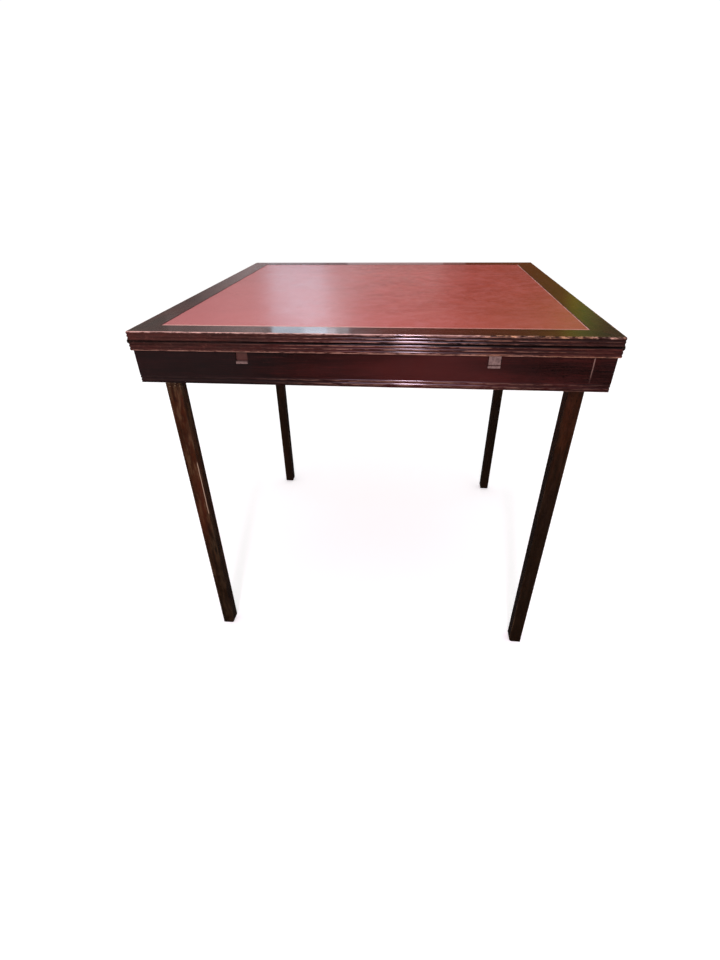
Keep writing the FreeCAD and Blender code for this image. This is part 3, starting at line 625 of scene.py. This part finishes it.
baize = green_baize()
leather = red_leather()
plywood = plain_wood("plywood", "x", (0.25, 0.135, 0.068), (0.165, 0.084, 0.041), 0.55)
beech = plain_wood("beech", "x", (0.40, 0.24, 0.125), (0.26, 0.145, 0.07), 0.6)
brass = metal("brass", (0.42, 0.27, 0.10), (0.17, 0.095, 0.040), 0.28, 0.85)
screw_brass = metal("screw_brass", (0.50, 0.34, 0.14), (0.26, 0.15, 0.06), 0.24, 0.9)
steel = metal("steel", (0.29, 0.19, 0.165), (0.14, 0.086, 0.074), 0.34, 0.45)
# each plain material, with how far its arrises are softened
PLAIN = {"plywood": (plywood, 0.0003), "beech": (beech, 0.0008),
         "brass": (brass, 0.00015), "steel": (steel, 0.00015)}
for row in frame["record"]["subparts"]:
    if row["material_slot"] in PLAIN:
        material, width = PLAIN[row["material_slot"]]
        finish_node(row["node"], material)
        soften(row["node"], width)


# ------------------------------------------------------------------ slotted screws

def solids_of(node):
    """The lowest and highest corners of each separate solid of a CAD node."""
    mesh = bmesh.new()
    mesh.from_mesh(nodes[node].data)
    bmesh.ops.remove_doubles(mesh, verts=mesh.verts, dist=1e-6)
    unseen = set(mesh.verts)
    boxes = []
    while unseen:
        waiting = [unseen.pop()]
        places = []
        while waiting:
            vertex = waiting.pop()
            places.append(vertex.co.copy())
            for edge in vertex.link_edges:
                other = edge.other_vert(vertex)
                if other in unseen:
                    unseen.remove(other)
                    waiting.append(other)
        boxes.append([Vector(pick(place[axis] for place in places) for axis in range(3))
                      for pick in (min, max)])
    mesh.free()
    return sorted(boxes, key=lambda box: tuple(box[0]))


def lathe(mesh, profile, matrix, segments=32):
    """A closed turned solid: profile is pairs of a radius and a height, on the axis at each end."""
    ends = [mesh.verts.new(matrix @ Vector((0, 0, height)))
            for height in (profile[0][1], profile[-1][1])]
    rings = []
    for radius, height in profile[1:-1]:
        ring = []
        for step in range(segments):
            turn = 2 * math.pi * step / segments
            ring.append(mesh.verts.new(matrix @ Vector((radius * math.cos(turn),
                                                        radius * math.sin(turn), height))))
        rings.append(ring)
    for step in range(segments):
        after = (step + 1) % segments
        mesh.faces.new((ends[0], rings[0][step], rings[0][after]))
        mesh.faces.new((ends[1], rings[-1][after], rings[-1][step]))
        for ring, below in zip(rings, rings[1:]):
            mesh.faces.new((ring[after], ring[step], below[step], below[after]))


SLOT_TURN = 2.4                     # angle from one screw's slot to the next one's, in radians
FIRST_TURN = 0.5
SCREW_TIP = 0.7                     # radius of the tip, as a share of the shank's
SCREW_RIM = 0.06                    # the rest are shares of the head's radius
SLOT_LENGTH = 2.4
SLOT_WIDTH = 0.30
SLOT_DEPTH = 0.28


def slotted_screws(node, body, material, outward, head_radius, shank_radius, head_depth):
    """Countersunk screws in place of a CAD node's, each with its slot at an angle of its own.
    They face outward, and where that is sideways, those on the left face the other way."""
    screws = bmesh.new()
    cutters = bmesh.new()
    rim = head_radius * SCREW_RIM
    for number, (low, high) in enumerate(solids_of(node)):
        middle = (low + high) / 2
        out = Vector(outward)
        if out.x and middle.x < 0:
            out = -out
        length = abs((high - low).dot(out))
        face = middle + out * length / 2
        turn = Matrix.Rotation(SLOT_TURN * number + FIRST_TURN, 4, "Z")
        matrix = Matrix.Translation(face) @ out.to_track_quat("Z", "Y").to_matrix().to_4x4() @ turn
        profile = ((0, 0), (head_radius - rim, 0), (head_radius, -rim),
                   (shank_radius, -head_depth), (shank_radius * SCREW_TIP, -length),
                   (0, -length))
        lathe(screws, profile, matrix)
        groove = Matrix.Diagonal((head_radius * SLOT_LENGTH, head_radius * SLOT_WIDTH,
                                  head_radius * 2 * SLOT_DEPTH, 1))
        bmesh.ops.create_cube(cutters, size=1, matrix=matrix @ groove)
    pieces = []
    for name, mesh in ((node + "_slotted", screws), (node + "_cutter", cutters)):
        bmesh.ops.recalc_face_normals(mesh, faces=mesh.faces)
        data = bpy.data.meshes.new(name)
        mesh.to_mesh(data)
        mesh.free()
        pieces.append(bpy.data.objects.new(name, data))
        scene.collection.objects.link(pieces[-1])
    piece, cutter = pieces
    cut = piece.modifiers.new("slots", "BOOLEAN")
    cut.object = cutter
    graph = bpy.context.evaluated_depsgraph_get()
    data = bpy.data.meshes.new_from_object(piece.evaluated_get(graph))
    piece.modifiers.clear()
    piece.data = data
    bpy.data.objects.remove(cutter)
    data.shade_smooth()
    data.set_sharp_from_angle(angle=math.radians(35))
    data.materials.append(material)
    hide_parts(node)
    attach(piece, body)


for leaf, body in (("upper", "upper_leaf"), ("lower", "box")):
    slotted_screws(leaf + "_hinge_screws", body, screw_brass, outward=(1, 0, 0),
                   head_radius=0.0026, shank_radius=0.0013, head_depth=0.0013)
slotted_screws("spring_screws", "box", steel, outward=(0, 0, -1),
               head_radius=0.0030, shank_radius=0.0015, head_depth=0.0012)


# ------------------------------------------------------------------ leather and baize

EDGE_MARGIN = 0.0012                # strip along a sheet's edge that rounds over
EDGE_DROPS = (0.00045, 0.00010, 0.0)    # how far the edge and the next two grid lines sink
STRAY_REACH = 0.004                 # how far in from the edge the grid follows a straying cut
STRAY_WAVES = 22                    # these four are waves per metre
STRAY_TEETH = 160
SLOW_RIPPLES = 14
FINE_RIPPLES = 70


def lines_across(low, high, steps):
    """Places of the grid lines of a sheet: even, with two more close to each edge."""
    even = [low + (high - low) * step / steps for step in range(1, steps)]
    close = EDGE_MARGIN * 0.35
    return [low, low + close, low + EDGE_MARGIN, *even, high - EDGE_MARGIN, high - close, high]


def strayed(off_middle, along, half, side_seed, ragged):
    """How much a cut that strays inwards moves a point: slow waves with small teeth."""
    side = 1 if off_middle > 0 else -1
    wave = noise.noise(Vector((along * STRAY_WAVES, side_seed + side, 0)))
    tooth = noise.noise(Vector((along * STRAY_TEETH, side_seed + side, 5)))
    inward = max(0.0, ragged * (0.5 + 0.7 * wave + 0.35 * tooth))
    near_edge = max(0.0, 1 - (half - abs(off_middle)) / STRAY_REACH)
    return -side * inward * near_edge


def sunk(x, y, seed, ripple):
    """How far the face lies below flat: a slow ripple with a finer one on it."""
    slow = 0.5 + 0.5 * noise.noise(Vector((x * SLOW_RIPPLES, y * SLOW_RIPPLES, seed)))
    finer = 0.5 + 0.5 * noise.noise(Vector((x * FINE_RIPPLES, y * FINE_RIPPLES, seed)))
    return ripple * slow + ripple * 0.2 * finer


def laid_sheet(name, node, steps, seed, ripple, ragged, face_up):
    """A sheet glued down flat: a closed slab with a rippled face, rounded edges and a cut that
    strays inwards, by about ragged at most. It stays inside the box of its CAD node."""
    low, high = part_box(node)
    across = lines_across(low.x, high.x, steps)
    count = len(across)
    middle = (low + high) / 2
    half = (high.x - low.x) / 2
    mesh = bmesh.new()
    faces = {}
    for shown in (True, False):
        rows = []
        for j, v in enumerate(across):
            row = []
            for i, u in enumerate(across):
                x = u - middle.x
                y = v - middle.x
                ring = min(i, j, count - 1 - i, count - 1 - j)
                drop = sunk(x, y, seed, ripple) + EDGE_DROPS[min(ring, 2)]
                if shown:
                    z = high.z - drop if face_up else low.z + drop
                else:
                    z = low.z if face_up else high.z
                row.append(mesh.verts.new((middle.x + x + strayed(x, y, half, seed, ragged),
                                           middle.y + y + strayed(y, x, half, seed + 3, ragged),
                                           z)))
            rows.append(row)
        faces[shown] = rows
        for j in range(count - 1):
            for i in range(count - 1):
                mesh.faces.new((rows[j][i], rows[j][i + 1], rows[j + 1][i + 1], rows[j + 1][i]))
    rims = []
    for rows in (faces[True], faces[False]):
        rims.append(rows[0][:-1] + [row[-1] for row in rows[:-1]] + rows[-1][:0:-1]
                    + [row[0] for row in rows[:0:-1]])
    for k in range(len(rims[0])):
        after = (k + 1) % len(rims[0])
        mesh.faces.new((rims[0][k], rims[0][after], rims[1][after], rims[1][k]))
    bmesh.ops.recalc_face_normals(mesh, faces=mesh.faces)
    for face in mesh.faces:
        face.smooth = abs(face.normal.z) > 0.5
    data = bpy.data.meshes.new(name)
    mesh.to_mesh(data)
    mesh.free()
    piece = bpy.data.objects.new(name, data)
    scene.collection.objects.link(piece)
    return piece


def lay(piece, node, body, material):
    """Puts a sheet in place of its CAD node, on the panel under it."""
    piece.data.materials.append(material)
    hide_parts(node)
    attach(piece, body)


leather_sheet = laid_sheet("leather_playing_surface", "leather_top", steps=110, seed=3,
                           ripple=0.00005, ragged=0.0009, face_up=True)
lay(leather_sheet, "leather_top", "upper_leaf", leather)
upper_cloth = laid_sheet("baize_of_upper_leaf", "upper_baize", steps=80, seed=11,
                         ripple=0.00010, ragged=0.0004, face_up=False)
lay(upper_cloth, "upper_baize", "upper_leaf", baize)
lower_cloth = laid_sheet("baize_of_lower_leaf", "lower_baize", steps=80, seed=23,
                         ripple=0.00010, ragged=0.0004, face_up=True)
lay(lower_cloth, "lower_baize", "box", baize)


# ------------------------------------------------------------------ floor, light and camera

BACKGROUND = 1.05                   # white that the camera sees past the floor
AMBIENT = 0.72                      # even white light on dull surfaces
FLOOR_GLOW = 0.42                   # lifts the floor to white, apart from faint shadows
FLOOR_HALF_SIDE = 40.0

# what stands round the room behind the table, from its left to its right
ROOM_COLOURS = ((0.03, (0.18, 0.155, 0.140)), (0.10, (0.15, 0.115, 0.110)),
                (0.20, (0.43, 0.33, 0.33)), (0.38, (0.31, 0.19, 0.20)),
                (0.45, (0.25, 0.08, 0.065)), (0.54, (0.22, 0.040, 0.020)),
                (0.70, (0.17, 0.058, 0.014)), (0.755, (0.18, 0.085, 0.012)),
                (0.775, (0.24, 0.200, 0.020)), (0.795, (0.17, 0.200, 0.035)),
                (0.83, (0.075, 0.080, 0.030)), (0.92, (0.055, 0.055, 0.032)))
HIGH_IN_ROOM = (0.15, 0.13, 0.13)
FRONT_OF_ROOM = (0.085, 0.066, 0.066)
LOW_IN_ROOM = (0.022, 0.017, 0.017)

# softboxes: place, the point it faces, width, height, brightness in a mirror, and colour
SOFTBOXES = {
    "ceiling_softbox": ((0.1, -0.2, 2.8), (0, 0, 0.6), 2.4, 2.4, 0.55, (1.0, 1.0, 1.0)),
    "front_strip": ((0.06, -2.5, 2.0), (0.05, -0.38, 0.66), 0.16, 1.4, 40.0, (1.0, 0.72, 0.90)),
    "front_glow": ((0.06, -2.5, 1.8), (0.05, -0.38, 0.66), 0.90, 0.8, 3.6, (0.98, 0.72, 0.96)),
    "window": ((-0.75, 2.5, 1.28), (-0.6, 0, 0.69), 0.40, 0.50, 1.29, (0.61, 0.83, 1.0)),
    "window_curtain": ((-0.47, 2.5, 1.36), (-0.4, 0, 0.69), 0.16, 0.60, 0.6, (0.80, 0.88, 0.94)),
    "window_top": ((-0.61, 2.5, 1.55), (-0.5, 0, 0.69), 0.24, 0.30, 1.4, (0.95, 0.88, 1.0)),
    "far_wall": ((-0.07, 2.5, 1.08), (0, 0, 0.69), 0.64, 0.28, 0.50, (1.0, 0.90, 0.93)),
    "far_wall_end": ((0.32, 2.5, 1.08), (0, 0, 0.69), 0.14, 0.28, 0.22, (1.0, 0.80, 0.82)),
    "left_wall": ((-1.40, 2.5, 1.60), (-0.9, 0, 0.69), 0.70, 0.60, 0.12, (1.0, 0.74, 0.74)),
}


def floor():
    """A pale floor that fades evenly to white, so that its far edge doesn't show."""
    material, tree, surface = new_material("floor")
    grain = noise_at(tree, object_place(tree), 2.0, 3, 0.5)
    tone = mix_colour(tree, grain, (0.80, 0.80, 0.80), (0.84, 0.84, 0.84))
    feed(tree, surface, base_color=tone, roughness=0.9, emission_color=(1.0, 1.0, 1.0))
    surface.inputs["Emission Strength"].default_value = FLOOR_GLOW
    surface.inputs["Specular IOR Level"].default_value = 0.0
    mesh = bpy.data.meshes.new("floor")
    size = FLOOR_HALF_SIDE
    mesh.from_pydata([(-size, -size, 0), (size, -size, 0), (size, size, 0), (-size, size, 0)],
                     [], [(0, 1, 2, 3)])
    mesh.materials.append(material)
    item = bpy.data.objects.new("floor", mesh)
    item.visible_glossy = False
    scene.collection.objects.link(item)


def softbox(name, place, target, width, height, brightness, colour):
    data = bpy.data.lights.new(name, "AREA")
    data.shape = "RECTANGLE"
    data.size = width
    data.size_y = height
    data.energy = brightness * math.pi * width * height
    data.color = colour
    item = bpy.data.objects.new(name, data)
    item.visible_camera = False
    item.location = place
    item.rotation_mode = "QUATERNION"
    item.rotation_quaternion = (Vector(target) - Vector(place)).to_track_quat("-Z", "Y")
    scene.collection.objects.link(item)


def surroundings():
    """White to the camera and to dull surfaces, and a dim room in what is polished."""
    world = bpy.data.worlds.new("studio")
    scene.world = world
    world.use_nodes = True
    tree = world.node_tree
    tree.nodes.clear()
    x, y, z = split(tree, shader(tree, "ShaderNodeTexCoord").outputs["Generated"])
    rays = shader(tree, "ShaderNodeLightPath").outputs
    band = colour_steps(tree, ramp(tree, x, -0.5, 0.5, linear=True), ROOM_COLOURS)
    walls = mix_colour(tree, ramp(tree, z, 0.30, 0.50), band, HIGH_IN_ROOM)
    walls = mix_colour(tree, ramp(tree, y, 0.15, -0.15), walls, FRONT_OF_ROOM)
    room = mix_colour(tree, ramp(tree, z, 0.02, 0.12), LOW_IN_ROOM, walls)
    seen = shader(tree, "ShaderNodeBackground", {"Color": (1, 1, 1, 1), "Strength": BACKGROUND})
    ambient = shader(tree, "ShaderNodeBackground", {"Color": (1, 1, 1, 1), "Strength": AMBIENT})
    mirrored = shader(tree, "ShaderNodeBackground", {"Color": room, "Strength": 1.0})
    glossy = shader(tree, "ShaderNodeMixShader",
                    {0: rays["Is Glossy Ray"], 1: ambient.outputs[0], 2: mirrored.outputs[0]})
    whole = shader(tree, "ShaderNodeMixShader",
                   {0: rays["Is Camera Ray"], 1: glossy.outputs[0], 2: seen.outputs[0]})
    output = tree.nodes.new("ShaderNodeOutputWorld")
    tree.links.new(whole.outputs[0], output.inputs["Surface"])


def camera():
    """A standing person's view from in front, looking down and slightly to the left."""
    data = bpy.data.cameras.new("camera")
    data.sensor_width = 36.0
    data.lens = 18.31
    data.shift_x = 0.0006
    data.shift_y = 0.0431
    item = bpy.data.objects.new("camera", data)
    scene.collection.objects.link(item)
    yaw, pitch, roll = math.radians(-6.44), math.radians(35.113), math.radians(-0.979)
    forward = Vector((math.sin(yaw) * math.cos(pitch), math.cos(yaw) * math.cos(pitch),
                      -math.sin(pitch)))
    level = Vector((math.cos(yaw), -math.sin(yaw), 0))
    above = level.cross(forward)
    right = math.cos(roll) * level + math.sin(roll) * above
    up = -math.sin(roll) * level + math.cos(roll) * above
    turned = Matrix((right, up, -forward)).transposed()
    item.matrix_world = Matrix.Translation((0.0735, -1.1443, 0.8793)) @ turned.to_4x4()
    scene.camera = item


floor()
surroundings()
camera()
for name, settings in SOFTBOXES.items():
    softbox(name, *settings)
scene.view_settings.view_transform = "Standard"
